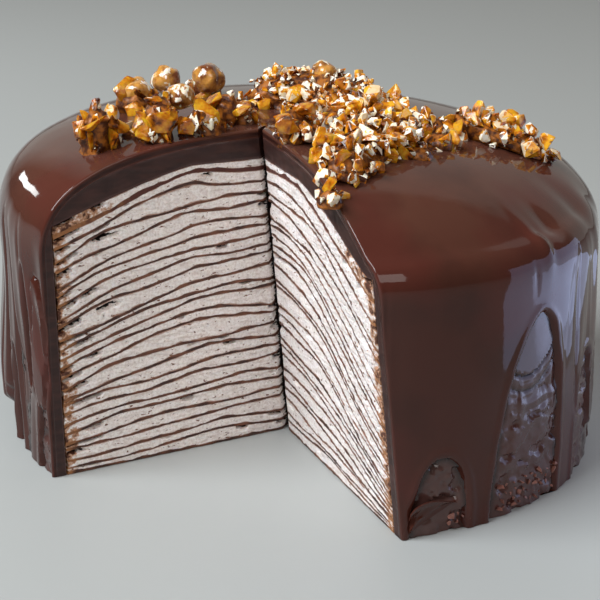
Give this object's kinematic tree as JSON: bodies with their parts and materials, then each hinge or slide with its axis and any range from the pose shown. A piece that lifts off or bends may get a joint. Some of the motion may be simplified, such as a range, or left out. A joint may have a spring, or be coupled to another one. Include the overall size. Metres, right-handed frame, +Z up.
{
  "type": "crepe cake",
  "caption": "Tall round cake of thin crepes and cream under glossy chocolate glaze, with one wedge cut out and caramelised nut praline on top.",
  "frame": {"origin": "middle of the cake's foot, on the surface that it stands on", "axes": "+Z up; the missing wedge opens towards -Y; +X to the right of someone who looks into it"},
  "size_m": [0.2221, 0.2168, 0.134],
  "materials": {
    "crepe": "matte, cooked chocolate crepe batter",
    "whipped_cream": "matte, pale chocolate whipped cream",
    "ganache_coat": "satin, rough set ganache",
    "chocolate_glaze": "high gloss poured glaze",
    "nut_praline": "glassy caramel on chopped nuts"
  },
  "bodies": {
    "root": {"crepe_01": "crepe", "cream_01": "whipped_cream", "crepe_02": "crepe", "cream_02": "whipped_cream", "crepe_03": "crepe", "cream_03": "whipped_cream", "crepe_04": "crepe", "cream_04": "whipped_cream", "crepe_05": "crepe", "cream_05": "whipped_cream", "crepe_06": "crepe", "cream_06": "whipped_cream", "crepe_07": "crepe", "cream_07": "whipped_cream", "crepe_08": "crepe", "cream_08": "whipped_cream", "crepe_09": "crepe", "cream_09": "whipped_cream", "crepe_10": "crepe", "cream_10": "whipped_cream", "crepe_11": "crepe", "cream_11": "whipped_cream", "crepe_12": "crepe", "cream_12": "whipped_cream", "crepe_13": "crepe", "cream_13": "whipped_cream", "crepe_14": "crepe", "cream_14": "whipped_cream", "crepe_15": "crepe", "cream_15": "whipped_cream", "crepe_16": "crepe", "cream_16": "whipped_cream", "crepe_17": "crepe", "cream_17": "whipped_cream", "crepe_18": "crepe", "cream_18": "whipped_cream", "crepe_19": "crepe", "cream_19": "whipped_cream", "crepe_20": "crepe", "cream_20": "whipped_cream", "crepe_21": "crepe", "cream_21": "whipped_cream", "crepe_22": "crepe", "cream_22": "whipped_cream", "crepe_23": "crepe", "cream_23": "whipped_cream", "crepe_24": "crepe", "cream_24": "whipped_cream", "crepe_25": "crepe", "cream_25": "whipped_cream", "undercoat": "ganache_coat", "glaze": "chocolate_glaze", "praline_cluster_1": "nut_praline", "praline_cluster_2": "nut_praline", "praline_cluster_3": "nut_praline", "praline_cluster_4": "nut_praline", "praline_cluster_5": "nut_praline", "praline_cluster_6": "nut_praline", "praline_heap": "nut_praline", "praline_side_heap": "nut_praline"}
  },
  "joints": []
}
